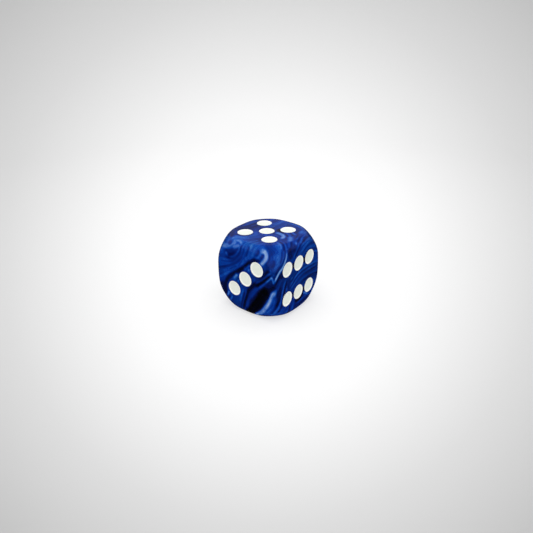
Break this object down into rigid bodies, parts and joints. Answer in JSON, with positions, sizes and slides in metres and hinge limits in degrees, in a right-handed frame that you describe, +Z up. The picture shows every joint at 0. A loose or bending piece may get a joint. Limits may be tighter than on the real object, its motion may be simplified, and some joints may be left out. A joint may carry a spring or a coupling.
{
  "type": "six-sided die",
  "caption": "Round-cornered cube die of swirled resin with painted, sunken pips, for throwing in tabletop games.",
  "frame": {"origin": "middle of the underside, on the surface that the die rests on with its five up", "axes": "+Z up out of the five, +X out of the six, -Y out of the three"},
  "size_m": [0.016, 0.016, 0.016],
  "materials": {
    "swirled_resin": "polished, marbled in navy, royal and pale blue",
    "pip_paint": "satin warm white"
  },
  "bodies": {
    "root": {"die_body": "swirled_resin", "one_pip_centre": "pip_paint", "two_pip_upper_left": "pip_paint", "two_pip_lower_right": "pip_paint", "three_pip_lower_left": "pip_paint", "three_pip_centre": "pip_paint", "three_pip_upper_right": "pip_paint", "four_pip_upper_left": "pip_paint", "four_pip_upper_right": "pip_paint", "four_pip_lower_left": "pip_paint", "four_pip_lower_right": "pip_paint", "five_pip_upper_left": "pip_paint", "five_pip_upper_right": "pip_paint", "five_pip_lower_left": "pip_paint", "five_pip_lower_right": "pip_paint", "five_pip_centre": "pip_paint", "six_pip_upper_left": "pip_paint", "six_pip_upper_middle": "pip_paint", "six_pip_upper_right": "pip_paint", "six_pip_lower_left": "pip_paint", "six_pip_lower_middle": "pip_paint", "six_pip_lower_right": "pip_paint"}
  },
  "joints": []
}
